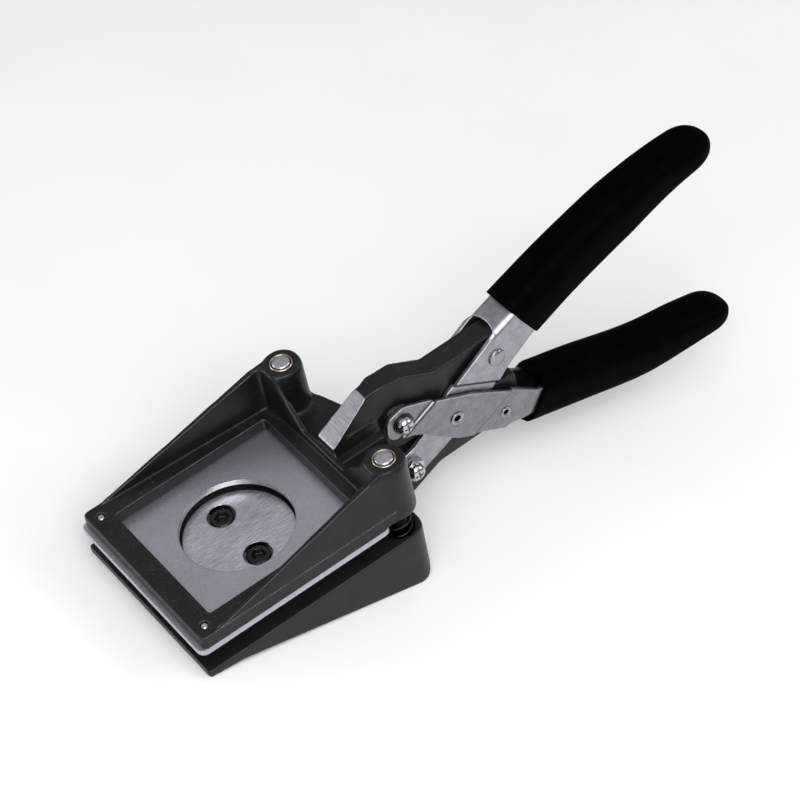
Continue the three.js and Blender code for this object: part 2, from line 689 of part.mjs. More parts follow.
const circlePunch = new THREE.Group();
circlePunch.add(baseGroup(), headGroup(), upperHandleGroup(), lowerHandleGroup());

export default circlePunch;
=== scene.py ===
"""Looks for a hand-held circle punch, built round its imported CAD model.

The castings, pressings and sleeves are remeshed from their CAD solids and rounded the way die
casting, bending and dipping leave them. Screws, pins and plates get their broken edges. All of
it stays where the CAD puts it, in metres.
"""

import json
import math

import bmesh
import bpy
import numpy as np
from mathutils import Matrix, Vector
from mathutils.bvhtree import BVHTree
from mathutils.kdtree import KDTree


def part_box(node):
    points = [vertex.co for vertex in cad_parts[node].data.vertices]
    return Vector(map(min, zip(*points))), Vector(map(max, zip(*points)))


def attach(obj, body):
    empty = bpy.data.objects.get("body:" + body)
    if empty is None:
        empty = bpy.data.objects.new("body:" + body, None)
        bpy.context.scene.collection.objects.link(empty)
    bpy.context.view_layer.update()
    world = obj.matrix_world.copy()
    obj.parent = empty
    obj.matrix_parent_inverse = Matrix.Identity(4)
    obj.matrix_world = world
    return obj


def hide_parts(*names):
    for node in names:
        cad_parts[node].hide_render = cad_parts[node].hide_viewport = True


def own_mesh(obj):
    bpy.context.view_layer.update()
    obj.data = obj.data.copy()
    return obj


MM = 0.001  # lengths are in metres unless a name ends in _mm
SCENE = bpy.context.scene

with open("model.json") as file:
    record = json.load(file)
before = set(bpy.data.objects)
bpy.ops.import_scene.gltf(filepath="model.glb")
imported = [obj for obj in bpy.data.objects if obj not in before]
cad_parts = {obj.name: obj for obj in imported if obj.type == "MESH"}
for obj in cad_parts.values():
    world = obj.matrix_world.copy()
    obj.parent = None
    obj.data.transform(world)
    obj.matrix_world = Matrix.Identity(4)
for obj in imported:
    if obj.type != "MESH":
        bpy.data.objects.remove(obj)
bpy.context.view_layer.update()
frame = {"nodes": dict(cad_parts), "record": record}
RECORD = frame["record"]
BODY_OF = {n: body for body, nodes in RECORD["behaviour"]["bodies"].items() for n in nodes}
MASS_AT = (0.0327, -0.0043)  # the tool's centre of mass, in x and z
TOOL_MIDDLE = Vector((0.05, 0, 0))


# ---------------------------------------------------------------- camera, lights, floor

CAMERA_AT = Vector((-226.7, -542.5, 666.8)) * MM
CAMERA_RIGHT = Vector((0.79404, -0.59144, -0.14039))
CAMERA_DOWN = Vector((-0.51623, -0.53416, -0.66947))
CAMERA_FORWARD = Vector((0.32096, 0.60405, -0.72945))
LENS_MM = 135.5


def add_camera():
    data = bpy.data.cameras.new("camera")
    data.sensor_width = 36
    data.lens = LENS_MM
    data.clip_start, data.clip_end = 0.05, 20
    camera = bpy.data.objects.new("camera", data)
    turn = Matrix((CAMERA_RIGHT, -CAMERA_DOWN, -CAMERA_FORWARD)).transposed().to_4x4()
    camera.matrix_world = Matrix.Translation(CAMERA_AT) @ turn
    SCENE.collection.objects.link(camera)
    SCENE.camera = camera


def add_light(name, direction, distance, size, power):
    """A soft box that looks at the tool's middle from the given direction."""
    data = bpy.data.lights.new(name, "AREA")
    data.shape = "RECTANGLE"
    data.size, data.size_y = size
    data.energy = power
    data.color = (1.0, 0.985, 0.97)
    light = bpy.data.objects.new(name, data)
    away = Vector(direction).normalized()
    light.location = TOOL_MIDDLE + away * distance
    light.rotation_mode = "QUATERNION"
    light.rotation_quaternion = away.to_track_quat("Z", "Y")
    SCENE.collection.objects.link(light)


def add_world(low, high, strength):
    """A plain studio: its walls are dim near the table and grow lighter towards the ceiling."""
    world = bpy.data.worlds.new("studio")
    world.use_nodes = True
    tree = world.node_tree
    around = tree.nodes.new("ShaderNodeTexCoord")
    height = tree.nodes.new("ShaderNodeSeparateXYZ")
    fade = tree.nodes.new("ShaderNodeMapRange")
    tint = tree.nodes.new("ShaderNodeMix")
    tint.data_type = "RGBA"
    fade.interpolation_type = "SMOOTHSTEP"
    fade.inputs["From Min"].default_value = 0.1
    fade.inputs["From Max"].default_value = 0.8
    tint.inputs[6].default_value = (*low, 1)
    tint.inputs[7].default_value = (*high, 1)
    tree.links.new(around.outputs["Generated"], height.inputs[0])
    tree.links.new(height.outputs["Z"], fade.inputs["Value"])
    tree.links.new(fade.outputs[0], tint.inputs[0])
    tree.links.new(tint.outputs[2], tree.nodes["Background"].inputs["Color"])
    tree.nodes["Background"].inputs["Strength"].default_value = strength
    SCENE.world = world


def resting_line():
    """The side of the lower outline that the tool's weight is over, as two points in x and z."""
    corners = {(v.co.x, v.co.z) for node in frame["nodes"].values() for v in node.data.vertices}
    hull = []
    for p in sorted(corners):
        while len(hull) > 1 and turn_of(hull[-2], hull[-1], p) <= 0:
            hull.pop()
        hull.append(p)
    for a, b in zip(hull, hull[1:]):
        side = Vector(b) - Vector(a)
        if 0 <= (Vector(MASS_AT) - Vector(a)) @ side <= side.length_squared:
            return Vector(a), Vector(b)
    raise ValueError("the centre of mass stands over no side of the outline")


def turn_of(a, b, c):
    """Above 0 where the path from a over b to c turns left."""
    return (b[0] - a[0]) * (c[1] - a[1]) - (b[1] - a[1]) * (c[0] - a[0])


def add_floor(material):
    """The table. The base's front edge and rear corner stand on it, with the grips in the air."""
    front, rear = resting_line()
    along = (rear - front).normalized()
    up = Vector((-along.y, 0, along.x))
    mesh = bpy.data.meshes.new("floor")
    bm = bmesh.new()
    bmesh.ops.create_grid(bm, x_segments=2, y_segments=2, size=2.5)
    bm.transform(up.to_track_quat("Z", "Y").to_matrix().to_4x4())
    bm.to_mesh(mesh)
    bm.free()
    floor = bpy.data.objects.new("floor", mesh)
    floor.location = Vector((front.x, 0, front.y)) - up * 0.05 * MM
    mesh.materials.append(material)
    SCENE.collection.objects.link(floor)


# ---------------------------------------------------------------- shader nodes


class Finish:
    """One material, and short calls that add nodes to it."""

    def __init__(self, name):
        self.material = bpy.data.materials.new(name)
        self.material.use_nodes = True
        self.nodes = self.material.node_tree.nodes
        self.links = self.material.node_tree.links
        self.shader = self.nodes["Principled BSDF"]
        self.place = self.add("ShaderNodeTexCoord").outputs["Object"]

    def add(self, kind, inputs=None, **settings):
        node = self.nodes.new(kind)
        for key, value in settings.items():
            setattr(node, key, value)
        for key, value in (inputs or {}).items():
            self.feed(node.inputs[key], value)
        return node

    def feed(self, socket, value):
        if isinstance(value, bpy.types.NodeSocket):
            self.links.new(value, socket)
        else:
            socket.default_value = value

    def math(self, operation, *values, clamp=False):
        return self.add(
            "ShaderNodeMath", dict(enumerate(values)), operation=operation, use_clamp=clamp
        ).outputs[0]

    def stretched(self, scale=(1, 1, 1), turn=(0, 0, 0)):
        """The object's own coordinates, turned and then scaled, for grain that runs one way."""
        turned = self.add("ShaderNodeMapping", {0: self.place, "Rotation": turn})
        return self.add("ShaderNodeMapping", {0: turned.outputs[0], "Scale": scale}).outputs[0]

    def noise(self, size_mm, detail=3, rough=0.5, at=None):
        inputs = {"Vector": at or self.place, "Scale": 1 / (size_mm * MM)}
        inputs |= {"Detail": detail, "Roughness": rough}
        return self.add("ShaderNodeTexNoise", inputs).outputs["Fac"]

    def cells(self, size_mm):
        """Distance to the nearest of a scatter of points, for flecks and specks."""
        inputs = {"Vector": self.place, "Scale": 1 / (size_mm * MM)}
        return self.add("ShaderNodeTexVoronoi", inputs).outputs["Distance"]

    def remap(self, value, low, high, to_low=0.0, to_high=1.0, smooth=False):
        inputs = {0: value, 1: low, 2: high, 3: to_low, 4: to_high}
        kind = "SMOOTHSTEP" if smooth else "LINEAR"
        return self.add("ShaderNodeMapRange", inputs, interpolation_type=kind).outputs[0]

    def axes(self):
        """The object's own x, y and z."""
        return self.add("ShaderNodeSeparateXYZ", {0: self.place}).outputs

    def mix(self, share, first, second):
        """From first to second as share goes from 0 to 1; each is a socket, a grey or a colour."""

        def colour(c):
            if isinstance(c, float):
                return (c, c, c, 1)
            return (*c, 1) if isinstance(c, tuple) else c

        inputs = {0: share, 6: colour(first), 7: colour(second)}
        return self.add("ShaderNodeMix", inputs, data_type="RGBA").outputs[2]

    def bump(self, height, depth_mm, strength=1.0, under=None):
        inputs = {"Height": height, "Distance": depth_mm * MM, "Strength": strength}
        if under:
            inputs["Normal"] = under
        return self.add("ShaderNodeBump", inputs).outputs[0]

    def edges(self, name="outer_edge"):
        """1 along the edges that mark_edges kept under this name, 0 away from them."""
        return self.add("ShaderNodeAttribute", attribute_name=name).outputs["Fac"]

    def facing_up(self, low, high):
        """0 to 1 as the normal's upward part goes from low to high."""
        normal = self.add("ShaderNodeNewGeometry").outputs["Normal"]
        return self.remap(self.add("ShaderNodeSeparateXYZ", {0: normal}).outputs[2], low, high)

    def surface(self, **inputs):
        for key, value in inputs.items():
            self.feed(self.shader.inputs[key.replace("_", " ")], value)
        return self.material


# ---------------------------------------------------------------- materials

NOSE_X = (0.0338, 0.0490)  # where the arm's ground face starts and ends
NOSE_HALF_WIDTH = 0.0065
# Below these heights the guide pins are drawn near black as painted shade.
PIN_DARK_BELOW = (0.010, 0.007)  # heights between which the guide pins turn dark


def powder_coat(nose=None):
    """Satin black coat on a die casting. nose is a plane (normal, offset) that is ground bright."""
    f = Finish("powder_coat")
    cloud = f.noise(9, detail=4)
    colour = f.mix(f.remap(cloud, 0.35, 0.65), (0.0058, 0.0058, 0.0061), (0.0095, 0.0095, 0.01))
    patchy = f.remap(f.noise(5, detail=3), 0.42, 0.6)
    patchy = f.math("MULTIPLY", patchy, f.facing_up(0.6, 0.9))
    dust = f.math("MULTIPLY", f.remap(f.cells(0.62), 0.3, 0.18), patchy, clamp=True)
    colour = f.mix(f.math("MULTIPLY", dust, 0.5), colour, (0.075, 0.07, 0.06))
    speck = f.math("LESS_THAN", f.cells(2.6), 0.06)
    colour = f.mix(f.math("MULTIPLY", speck, 0.6), colour, (0.13, 0.13, 0.125))
    # Edges are lightened: partly paint worn off the crisp edges, partly a painted highlight along
    # them.
    edge_wear_and_highlight_patches = f.remap(f.noise(6, detail=4), 0.3, 0.55, 0.3, 1.0)
    wear_and_highlight_edge = f.math("MULTIPLY", f.edges(), edge_wear_and_highlight_patches, clamp=True)
    colour = f.mix(f.math("MULTIPLY", wear_and_highlight_edge, 0.6), colour, (0.24, 0.24, 0.25))
    rough = f.remap(f.noise(2.2, detail=5, rough=0.6), 0.3, 0.7, 0.28, 0.4)
    peel = f.bump(f.noise(0.85, detail=2), 0.035, 0.55)
    grain = f.bump(f.noise(0.22, detail=1), 0.012, 0.35, under=peel)
    metal = 0.0
    if nose:
        normal, offset = nose
        depth = f.add("ShaderNodeVectorMath", {0: f.place, 1: normal}, operation="DOT_PRODUCT")
        off = f.math("ABSOLUTE", f.math("SUBTRACT", depth.outputs["Value"], offset))
        on_plane = f.remap(off, 0.22 * MM, 0.12 * MM)
        x, y, _ = f.axes()
        start, end = NOSE_X
        past_start = f.remap(x, start, start + 0.1 * MM)
        before_end = f.remap(x, end, end - 0.1 * MM)
        between = f.remap(f.math("ABSOLUTE", y), NOSE_HALF_WIDTH, NOSE_HALF_WIDTH - 0.5 * MM)
        inside = f.math("MULTIPLY", f.math("MULTIPLY", past_start, before_end), between)
        bare = f.math("MULTIPLY", on_plane, inside, clamp=True)
        lines = f.noise(0.32, detail=3, rough=0.7, at=f.stretched((1, 0.06, 1)))
        steel = f.mix(f.remap(lines, 0.3, 0.7), (0.24, 0.235, 0.265), (0.46, 0.45, 0.50))
        colour = f.mix(bare, colour, steel)
        rough = f.mix(bare, rough, f.remap(lines, 0.3, 0.7, 0.34, 0.5))
        grain = f.bump(f.math("MULTIPLY", lines, bare), 0.02, 0.5, under=grain)
        metal = bare
    f.shader.inputs["Specular IOR Level"].default_value = 0.26
    return f.surface(Base_Color=colour, Roughness=rough, Normal=grain, Metallic=metal)


def ground_steel(name, low, high, grain, turn, rough, bores, shade=0.3):
    """Flat-ground tool steel with bright turned bores. grain is how far the lines stretch, turn
    their heading in degrees and shade the share of pits among them. Each bore is the y of its
    axis, the same on both sides, and its radius."""
    f = Finish(name)
    grind = f.stretched((1 / grain, 1, 1), (0, 0, math.radians(turn)))
    lines = f.noise(0.5, detail=3, rough=0.7, at=grind)
    pits = f.noise(0.42, detail=2, rough=0.7)
    cloud = f.noise(16, detail=3)
    both = f.math("ADD", f.math("MULTIPLY", lines, 1 - shade), f.math("MULTIPLY", pits, shade))
    tone = f.math("ADD", f.math("MULTIPLY", both, 0.8), f.math("MULTIPLY", cloud, 0.2))
    colour = f.mix(f.remap(tone, 0.38, 0.62), low, high)
    roughness = f.remap(both, 0.3, 0.7, rough - 0.05, rough + 0.07)
    x, y, _ = f.axes()
    for centre, radius in bores:
        off = f.math("SUBTRACT", f.math("ABSOLUTE", y), centre)
        away = f.math("SQRT", f.math("ADD", f.math("MULTIPLY", x, x), f.math("MULTIPLY", off, off)))
        from_wall = f.math("ABSOLUTE", f.math("SUBTRACT", away, radius))
        turned = f.remap(from_wall, 0.36 * MM, 0.30 * MM)
        colour = f.mix(turned, colour, (0.42, 0.42, 0.44))
        roughness = f.mix(turned, roughness, 0.24)
    relief = f.bump(both, 0.012, 0.5)
    return f.surface(Base_Color=colour, Metallic=1.0, Roughness=roughness, Normal=relief)


def zinc_plate(name, tone):
    """Passivated zinc on rolled steel: faintly pink-grey, softly mottled, with fine scuffs. Rims
    are lightened, partly bare sheared edge and partly painted highlight, and fold lines carry
    painted shade. tone scales the whole colour."""
    f = Finish(name)

    def grey(*rgb):
        return tuple(tone * c for c in rgb)

    mottle = f.noise(2.6, detail=6, rough=0.62)
    colour = f.mix(f.remap(mottle, 0.35, 0.65), grey(0.29, 0.27, 0.31), grey(0.40, 0.375, 0.42))
    streak = f.noise(0.9, detail=4, rough=0.6, at=f.stretched((0.12, 1, 1), (0, 0.35, 0)))
    colour = f.mix(f.remap(streak, 0.52, 0.72, 0, 0.35), colour, grey(0.52, 0.49, 0.53))
    scuff = f.noise(0.5, detail=2, at=f.stretched((0.05, 1, 1), (0, 1.1, 0.3)))
    here = f.remap(f.noise(9), 0.5, 0.6)
    scuff = f.math("MULTIPLY", f.remap(scuff, 0.68, 0.74), here, clamp=True)
    colour = f.mix(f.math("MULTIPLY", scuff, 0.5), colour, (0.24, 0.23, 0.25))
    # Rims lightened: partly bare sheared edge, partly a painted highlight.
    colour = f.mix(f.math("MULTIPLY", f.edges(), 0.55), colour, (0.86, 0.84, 0.87))
    # Painted shade: fold lines and joggles darkened almost to black.
    colour = f.mix(f.remap(f.edges("painted_fold_shade"), 0.1, 0.7, 0, 0.85), colour, (0.01, 0.01, 0.01))
    rough = f.remap(mottle, 0.3, 0.7, 0.3, 0.44)
    relief = f.bump(f.noise(0.5, detail=4), 0.012, 0.35)
    relief = f.bump(scuff, 0.02, -0.4, under=relief)
    return f.surface(Base_Color=colour, Metallic=1.0, Roughness=rough, Normal=relief)


def plain_metal(name, low, high, rough, size_mm=0.5):
    """Small turned and plated parts: a tone that drifts, fine marks, brighter on the edges."""
    f = Finish(name)
    mark = f.noise(size_mm, detail=5, rough=0.65)
    colour = f.mix(f.remap(mark, 0.35, 0.65), low, high)
    roughness = f.remap(mark, 0.3, 0.7, rough - 0.05, rough + 0.08)
    relief = f.bump(mark, 0.006, 0.35)
    return f.surface(Base_Color=colour, Metallic=1.0, Roughness=roughness, Normal=relief)


def pin_steel():
    """Ground guide pin: bright where the bush wipes it, with painted shade below the head, in the
    gap between head and base.
    """
    f = Finish("pin_steel")
    mark = f.noise(1.6, detail=5, rough=0.65)
    ring = f.noise(0.4, detail=3, at=f.stretched((0.3, 0.3, 1)))
    colour = f.mix(f.remap(mark, 0.35, 0.65), (0.46, 0.45, 0.49), (0.58, 0.57, 0.61))
    painted_shade_below = f.remap(f.axes()[2], *PIN_DARK_BELOW)
    dark = f.mix(f.remap(ring, 0.35, 0.65), (0.012, 0.012, 0.013), (0.03, 0.03, 0.034))
    rough = f.mix(painted_shade_below, f.remap(mark, 0.3, 0.7, 0.2, 0.3), 0.42)
    colour, relief = f.mix(painted_shade_below, colour, dark), f.bump(ring, 0.006, 0.3)
    return f.surface(Base_Color=colour, Metallic=1.0, Roughness=rough, Normal=relief)


def black_oxide():
    """Oiled black oxide on socket screws and a washer: near black, with a low sheen."""
    f = Finish("black_oxide")
    mark = f.noise(0.4, detail=5, rough=0.6)
    colour = f.mix(f.remap(mark, 0.35, 0.65), (0.02, 0.02, 0.021), (0.045, 0.045, 0.048))
    relief = f.bump(mark, 0.005, 0.3)
    rough = f.remap(mark, 0.3, 0.7, 0.14, 0.24)
    return f.surface(Base_Color=colour, Metallic=0.85, Roughness=rough, Normal=relief)


def vinyl():
    """Dipped black vinyl: almost no colour of its own, a low gloss broken by a very fine grain."""
    f = Finish("vinyl")
    cloud = f.noise(6, detail=4)
    colour = f.mix(f.remap(cloud, 0.35, 0.65), (0.0002, 0.0002, 0.0002), (0.0009, 0.0009, 0.001))
    grain = f.bump(f.noise(0.3, detail=2), 0.012, 0.3)
    wave = f.bump(f.noise(5, detail=1), 0.15, 0.2, under=grain)
    rough = f.remap(f.noise(1.5, detail=4), 0.3, 0.7, 0.5, 0.62)
    f.shader.inputs["Specular IOR Level"].default_value = 0.015
    return f.surface(Base_Color=colour, Roughness=rough, Normal=wave)


def studio_floor():
    """Matt pale card. Seen from underneath it is clear, so it never hides the tool."""
    f = Finish("studio_floor")
    drift = f.remap(f.noise(60, detail=3), 0.3, 0.7)
    tone = f.mix(drift, (0.92, 0.92, 0.925), (0.94, 0.94, 0.945))
    relief = f.bump(f.noise(1.2, detail=3), 0.02, 0.2)
    f.surface(Base_Color=tone, Roughness=0.75, Normal=relief)
    clear = f.add("ShaderNodeBsdfTransparent").outputs[0]
    under = f.add("ShaderNodeNewGeometry").outputs["Backfacing"]
    both = f.add("ShaderNodeMixShader", {0: under, 1: f.shader.outputs[0], 2: clear}).outputs[0]
    f.feed(f.nodes["Material Output"].inputs["Surface"], both)
    return f.material


# ---------------------------------------------------------------- mesh work


def read_mesh(mesh):
    """Vertices and triangles of a CAD node, with the corners that its facets share merged."""
    bm = bmesh.new()
    bm.from_mesh(mesh)
    bmesh.ops.remove_doubles(bm, verts=bm.verts, dist=1e-6)
    bmesh.ops.triangulate(bm, faces=bm.faces)
    points = np.array([v.co for v in bm.verts])
    faces = np.array([[v.index for v in face.verts] for face in bm.faces])
    bm.free()
    return points, faces


def make_piece(name, node):
    """A new object with the CAD node's welded mesh, not yet in place of the node."""
    points, faces = read_mesh(frame["nodes"][node].data)
    mesh = bpy.data.meshes.new(name)
    mesh.from_pydata(points.tolist(), [], faces.tolist())
    obj = bpy.data.objects.new(name, mesh)
    SCENE.collection.objects.link(obj)
    return obj


def stand_for(obj, node, material):
    """Puts the finished piece in place of its CAD node, on the same body."""
    obj.data.materials.clear()
    obj.data.materials.append(material)
    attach(obj, BODY_OF[node])
    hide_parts(node)
    return obj


def apply_modifiers(obj):
    bpy.context.view_layer.update()
    shown = obj.evaluated_get(bpy.context.evaluated_depsgraph_get())
    mesh = bpy.data.meshes.new_from_object(shown)
    obj.modifiers.clear()
    obj.data = mesh


def within(value, low_mm, high_mm):
    return (value > low_mm * MM) & (value < high_mm * MM)


def get_points(obj):
    co = np.empty(3 * len(obj.data.vertices), np.float32)
    obj.data.vertices.foreach_get("co", co)
    return co.reshape(-1, 3).astype(float)


def set_points(obj, points):
    obj.data.vertices.foreach_set("co", points.astype(np.float32).ravel())
    obj.data.update()


def remesh(obj, voxel_mm):
    """An even, dense skin on the piece's own surface."""
    guide = obj.copy()
    guide.data = obj.data.copy()
    SCENE.collection.objects.link(guide)
    skin = obj.modifiers.new("skin", "REMESH")
    skin.mode = "VOXEL"
    skin.voxel_size = voxel_mm * MM
    wrap = obj.modifiers.new("wrap", "SHRINKWRAP")
    wrap.target = guide
    wrap.wrap_method = "NEAREST_SURFACEPOINT"
    apply_modifiers(obj)
    bpy.data.objects.remove(guide)
    obj.data.shade_smooth()


def facets(node):
    """A CAD node's corners, its triangles as corner numbers, and their unit normals and areas."""
    points, faces = read_mesh(frame["nodes"][node].data)
    corner = points[faces]
    normal = np.cross(corner[:, 1] - corner[:, 0], corner[:, 2] - corner[:, 0])
    length = np.linalg.norm(normal, axis=1)
    return points, faces, normal / np.maximum(length, 1e-15)[:, None], length / 2


def edge_points(node, least_deg, most_deg=180, hollow=None, step_mm=0.3):
    """Points along the CAD node's edges that turn by such an angle. hollow keeps only inward
    edges when it is True and only outward ones when it is False."""
    points, faces, normal, _ = facets(node)
    centre = points[faces].mean(axis=1)
    sides = {}
    for i, (a, b, c) in enumerate(faces.tolist()):
        for edge in ((a, b), (b, c), (c, a)):
            sides.setdefault(tuple(sorted(edge)), []).append(i)
    least, most = math.cos(math.radians(least_deg)), math.cos(math.radians(most_deg))
    found = []
    for (a, b), near in sides.items():
        if len(near) != 2:
            continue
        i, j = near
        if not most <= normal[i] @ normal[j] < least:
            continue
        if hollow is not None and hollow != ((centre[j] - centre[i]) @ normal[i] > 0):
            continue
        count = max(2, int(np.linalg.norm(points[b] - points[a]) / (step_mm * MM)) + 1)
        found.append(points[a] + np.linspace(0, 1, count)[:, None] * (points[b] - points[a]))
    return np.concatenate(found)


def distance_to(samples, points):
    """How far each point is from the nearest sample."""
    tree = KDTree(len(samples))
    for i, p in enumerate(samples):
        tree.insert(p, i)
    tree.balance()
    return np.array([tree.find(p)[2] for p in points])


def relax(obj, weight, rounds, pull=0.5, push=0.0):
    """Evens the mesh where weight is 1. push above 0 gives back the volume that pull takes."""
    pairs = np.empty(2 * len(obj.data.edges), np.int64)
    obj.data.edges.foreach_get("vertices", pairs)
    first, second = pairs.reshape(-1, 2).T
    points = get_points(obj)
    count = len(points)
    degree = np.bincount(first, minlength=count) + np.bincount(second, minlength=count)
    degree = np.maximum(degree, 1)

    def step(amount):
        for axis in range(3):
            value = points[:, axis]
            total = np.bincount(first, value[second], count)
            total = total + np.bincount(second, value[first], count)
            points[:, axis] = value + amount * weight * (total / degree - value)

    for _ in range(rounds):
        step(pull)
        if push:
            step(-push)
    set_points(obj, points)


def round_edges(obj, samples, reach_mm, rounds, pull=0.5):
    """Relaxes the mesh near the samples, less and less towards 1.5 times the reach."""
    away = distance_to(samples, get_points(obj)) / MM
    weight = np.clip(1.5 - away / reach_mm, 0, 1)
    relax(obj, weight, rounds, pull)


def mark_edges(obj, samples, reach_mm, name="outer_edge"):
    """Keeps on each vertex how near it is to an edge: 1 on the edge, 0 past the reach."""
    away = distance_to(samples, get_points(obj)) / MM
    near = np.clip(1 - away / reach_mm, 0, 1).astype(np.float32)
    obj.data.attributes.new(name, "FLOAT", "POINT").data.foreach_set("value", near)


def bevelled(obj, width_mm, segments):
    """Breaks the edges of a small hard piece and smooths its turned faces."""
    bm = bmesh.new()
    bm.from_mesh(obj.data)
    bmesh.ops.dissolve_limit(bm, angle_limit=math.radians(0.3), verts=bm.verts, edges=bm.edges)
    bm.to_mesh(obj.data)
    bm.free()
    bevel = obj.modifiers.new("bevel", "BEVEL")
    bevel.width = width_mm * MM
    bevel.segments = segments
    bevel.limit_method = "ANGLE"
    bevel.angle_limit = math.radians(32)
    bevel.use_clamp_overlap = True
    obj.data.shade_smooth()
    obj.data.set_sharp_from_angle(angle=math.radians(35))
    flat = obj.modifiers.new("flat", "WEIGHTED_NORMAL")
    flat.weight = 100
    flat.keep_sharp = True
    apply_modifiers(obj)


# ---------------------------------------------------------------- castings

ARM_FOOT_X = 0.0518  # where the foot of the head's arm fades out


def nose_plane():
    """The plane of the ground face at the front of the head's arm, from the CAD mesh."""
    points, faces, normal, area = facets("head_casting")
    centre = points[faces].mean(axis=1)
    facing = (np.abs(normal[:, 1]) < 0.01) & (normal[:, 0] < -0.4) & (normal[:, 2] > 0.6)
    facing &= np.abs(centre[:, 1]) < 3.5 * MM
    best = np.where(facing, area, 0).argmax()
    return tuple(normal[best]), float(normal[best] @ centre[best])


def casting(name, node, material):
    """A die casting: every edge barely rounded, with wide blends at the head's bosses and arm."""
    obj = make_piece(name, node)
    remesh(obj, 0.36)
    crisp = edge_points(node, 40, hollow=False)
    if node == "head_casting":
        creases = edge_points(node, 4)
        for blend, reach, rounds in ((around_boss, 2.2, 60), (foot_end, 1.6, 40)):
            round_edges(obj, creases[blend(creases)], reach, rounds)
            crisp = crisp[~blend(crisp)]
    round_edges(obj, edge_points(node, 24), reach_mm=0.4, rounds=3)
    mark_edges(obj, crisp, 0.3)
    return stand_for(obj, node, material)


def around_boss(points):
    """Where the guide bosses run into the cheeks and the wall, below their top faces."""
    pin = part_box("guide_pin_left")
    middle, top = (pin[0] + pin[1]) / 2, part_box("guide_bush_left")[1].z
    x, y, z = points.T
    off = np.hypot(x - middle.x, np.abs(y) - middle.y)
    return within(off, 5.5, 8.5) & within(z, 10.5, top / MM - 1.4)


def foot_end(points):
    """Where the foot of the arm fades out into its sides."""
    x, y, z = points.T
    return within(x - ARM_FOOT_X, -1.6, 1.6) & within(np.abs(y), 2.5, 5.6) & within(z, 9, 23.5)


# ---------------------------------------------------------------- handles

WEB_FRONT_X = 0.094  # where the webs of both channels start
WEB_HALF_WIDTH = 0.00645  # over the outside of both sides
WEB_CUT_HALF_WIDTH = 0.0052  # of the curve in its front edge
WEB_SLOPE = 0.44  # how the web's front rises along x
WEB_HEADING = (0.905, 0.425)  # the way its front edge is cut back, in x and outward z
LINK_MIDDLE_Z = -0.0007  # height of the centre rivet, which both handles are measured from


def outer_web(node, up):
    """The web's outer faces, which look away from the other handle."""
    points, faces, normal, _ = facets(node)
    corner = points[faces]
    keep = (np.abs(normal[:, 1]) < 0.05) & (up * normal[:, 2] > 0.5)
    keep &= corner[:, :, 0].min(axis=1) > WEB_FRONT_X - 0.5 * MM
    keep &= np.ptp(corner[:, :, 1], axis=1) > 4 * MM
    return BVHTree.FromPolygons(points.tolist(), faces[keep].tolist())


def fold_corners(obj, node, up, radius_mm=2.6):
    """Turns the square corners between web and sides into the bend of a pressing."""
    web = outer_web(node, up)
    points = get_points(obj)
    share = np.clip((points[:, 0] - WEB_FRONT_X + 3.5 * MM) / (4 * MM), 0, 1)
    at_side = np.abs(points[:, 1]) > WEB_HALF_WIDTH - radius_mm * MM
    for i in np.flatnonzero((share > 0) & at_side):
        radius = radius_mm * MM * share[i]
        across = abs(points[i, 1]) - (WEB_HALF_WIDTH - radius)
        if not 0 < across <= radius * 1.02:
            continue
        near, normal, _, _ = web.find_nearest(points[i])
        rise = radius - (near - Vector(points[i])) @ normal
        if rise <= 0:
            continue
        drop = 1 - max(across, rise) / math.hypot(across, rise)
        points[i, 1] -= math.copysign(across * drop, points[i, 1])
        points[i] -= np.array(normal) * rise * drop
    set_points(obj, points)


def hollow_front(obj, up, rise, depth_mm=1.3):
    """Cuts the web's front edge back in the middle, as a shallow curve between the two sides."""
    points = get_points(obj)
    x, y, z = points.T
    level = up * (z - LINK_MIDDLE_Z) - rise - WEB_SLOPE * (x - WEB_FRONT_X)
    fade_end = WEB_FRONT_X + 7 * MM
    on_web = (x > WEB_FRONT_X - 1.5 * MM) & (x < fade_end)
    on_web &= (level > -2.4 * MM) & (np.abs(y) < WEB_CUT_HALF_WIDTH)
    bow = 1 - (y / WEB_CUT_HALF_WIDTH) ** 2
    fade = np.clip((fade_end - x) / (6 * MM), 0, 1)
    shift = np.where(on_web, depth_mm * MM * bow * fade, 0)
    points[:, 0] += WEB_HEADING[0] * shift
    points[:, 2] += up * WEB_HEADING[1] * shift
    set_points(obj, points)


def channel(name, node, up, rise, material):
    """A pressed handle. up is 1 or -1 for the side its web is on, and rise the web's height."""
    obj = make_piece(name, node)
    remesh(obj, 0.28)
    round_edges(obj, edge_points(node, 24), reach_mm=0.3, rounds=2, pull=0.4)
    rim = edge_points(node, 75, hollow=False)
    mark_edges(obj, rim[rim[:, 0] < WEB_FRONT_X + 0.5 * MM], 0.3)
    # Bends and joggles, which get painted shade in the zinc finish.
    mark_edges(obj, edge_points(node, 35, 75), 0.6, "painted_fold_shade")
    fold_corners(obj, node, up)
    hollow_front(obj, up, rise)
    relax(obj, 0.25, 2)
    return stand_for(obj, node, material)


def sleeve(name, node, material):
    """A dipped grip: soft all over, with its front edge kept nearly crisp."""
    obj = make_piece(name, node)
    remesh(obj, 0.55)
    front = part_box(node)[0].x
    points = get_points(obj)
    behind = np.clip((points[:, 0] - front - 4 * MM) / (6 * MM), 0.12, 1)
    relax(obj, behind, 40, pull=0.5, push=0.5)
    relax(obj, behind, 4, pull=0.5)
    return stand_for(obj, node, material)


# ---------------------------------------------------------------- small parts


def hard_piece(node, material, width_mm, segments=2):
    obj = make_piece(node + "_finish", node)
    bevelled(obj, width_mm, segments)
    return stand_for(obj, node, material)


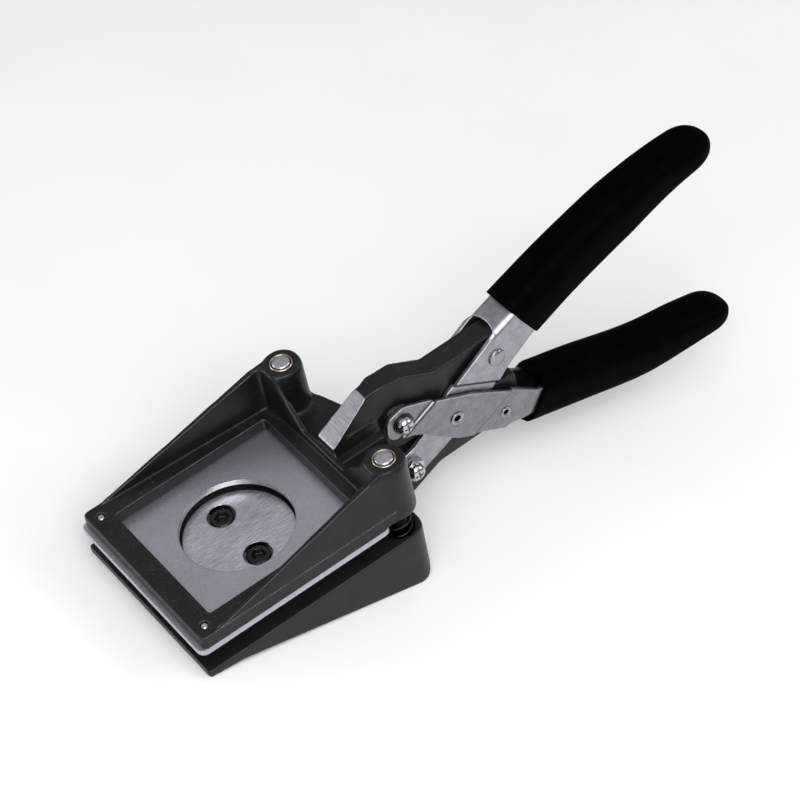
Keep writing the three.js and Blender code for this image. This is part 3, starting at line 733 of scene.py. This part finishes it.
def spring_piece(node, material):
    """A return spring, copied from its CAD node and shaded smooth."""
    obj = make_piece(node + "_wire", node)
    obj.data.shade_smooth()
    stand_for(obj, node, material)
    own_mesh(obj)


# ---------------------------------------------------------------- the scene

DIE_BORE = 0.0175  # radii of the die's hole and of the holes for the punch screws' heads
COUNTERBORE = 0.0044


def build_tool():
    """Makes every material, then a finished piece for each CAD node."""
    steel = plain_metal("bright_steel", (0.46, 0.45, 0.49), (0.58, 0.57, 0.61), 0.24, 1.6)
    chrome = plain_metal("bright_screw", (0.42, 0.42, 0.44), (0.60, 0.60, 0.63), 0.14)
    zinc_rivet = plain_metal("zinc_rivet", (0.26, 0.25, 0.28), (0.42, 0.40, 0.44), 0.22)
    zinc_part = plain_metal("zinc_part", (0.50, 0.48, 0.52), (0.66, 0.64, 0.68), 0.16)
    bronze = plain_metal("bronze", (0.36, 0.30, 0.24), (0.56, 0.48, 0.40), 0.3)
    wire = plain_metal("spring_wire", (0.012, 0.012, 0.013), (0.04, 0.04, 0.045), 0.3)
    oxide = black_oxide()
    pins = pin_steel()
    rubber = vinyl()
    low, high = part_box("punch_screw_left")
    plate_bores = [(0, DIE_BORE)]
    disc_bores = [(0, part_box("punch_disc")[1].x), ((low.y + high.y) / 2, COUNTERBORE)]
    plate = ground_steel(
        "die_steel", (0.42, 0.40, 0.46), (0.54, 0.525, 0.59), 2, 30, 0.42, plate_bores, shade=0.7
    )
    disc = ground_steel(
        "punch_steel", (0.38, 0.355, 0.41), (0.84, 0.79, 0.88), 9, 5, 0.40, disc_bores, shade=0.35
    )

    casting("head_casting_coat", "head_casting", powder_coat(nose_plane()))
    casting("base_casting_coat", "base_casting", powder_coat())
    # Both handles have the same zinc; the lower one is drawn at 0.72 of its colour as painted
    # shade.
    for level, up, rise, tone in (("upper", 1, 0.0213, 1.0), ("lower", -1, 0.0199, 0.72)):
        skin = zinc_plate(f"zinc_plate_{level}", tone)
        channel(f"{level}_channel_bent", f"{level}_handle_channel", up, rise, skin)
    for level in ("upper", "lower"):
        sleeve(f"{level}_grip_sleeve", f"{level}_grip", rubber)
    hard_piece("die_plate", plate, 0.28)
    hard_piece("punch_disc", disc, 0.1)
    for side in ("left", "right"):
        hard_piece(f"punch_screw_{side}", oxide, 0.18, 3)
        hard_piece(f"guide_pin_{side}", pins, 0.1)
        hard_piece(f"guide_bush_{side}", bronze, 0.08)
        hard_piece(f"die_screw_front_{side}", steel, 0.06)
        hard_piece(f"die_screw_back_{side}", steel, 0.06)
        spring_piece(f"return_spring_{side}", wire)
    hard_piece("upper_pivot_washer", oxide, 0.1)
    for node in ("upper_pivot_screw", "lower_pivot_screw"):
        hard_piece(node, chrome, 0.12, 3)
    for node in ("upper_slide_rivet", "lower_slide_rivet", "centre_rivet"):
        hard_piece(node, zinc_rivet, 0.12, 3)
    for node in ("upper_pivot_nut", "lower_pivot_nut", "lower_pivot_spacer_nut"):
        hard_piece(node, zinc_part, 0.15, 2)


def light_stage():
    SCENE.view_settings.view_transform = "Standard"
    SCENE.view_settings.look = "None"
    add_world((0.50, 0.50, 0.52), (1.0, 1.0, 1.04), 0.5)
    add_light("key_box", (-0.35, -0.75, 0.85), 1.3, (1.0, 0.8), 11)
    add_light("right_box", (0.85, -0.42, 0.42), 1.3, (0.6, 0.6), 4)
    add_light("left_box", (-0.75, 0.62, 0.22), 1.3, (0.6, 0.4), 6)
    add_light("top_box", (0.0, -0.35, 1), 1.4, (1.2, 1.2), 5)
    add_floor(studio_floor())


add_camera()
light_stage()
build_tool()
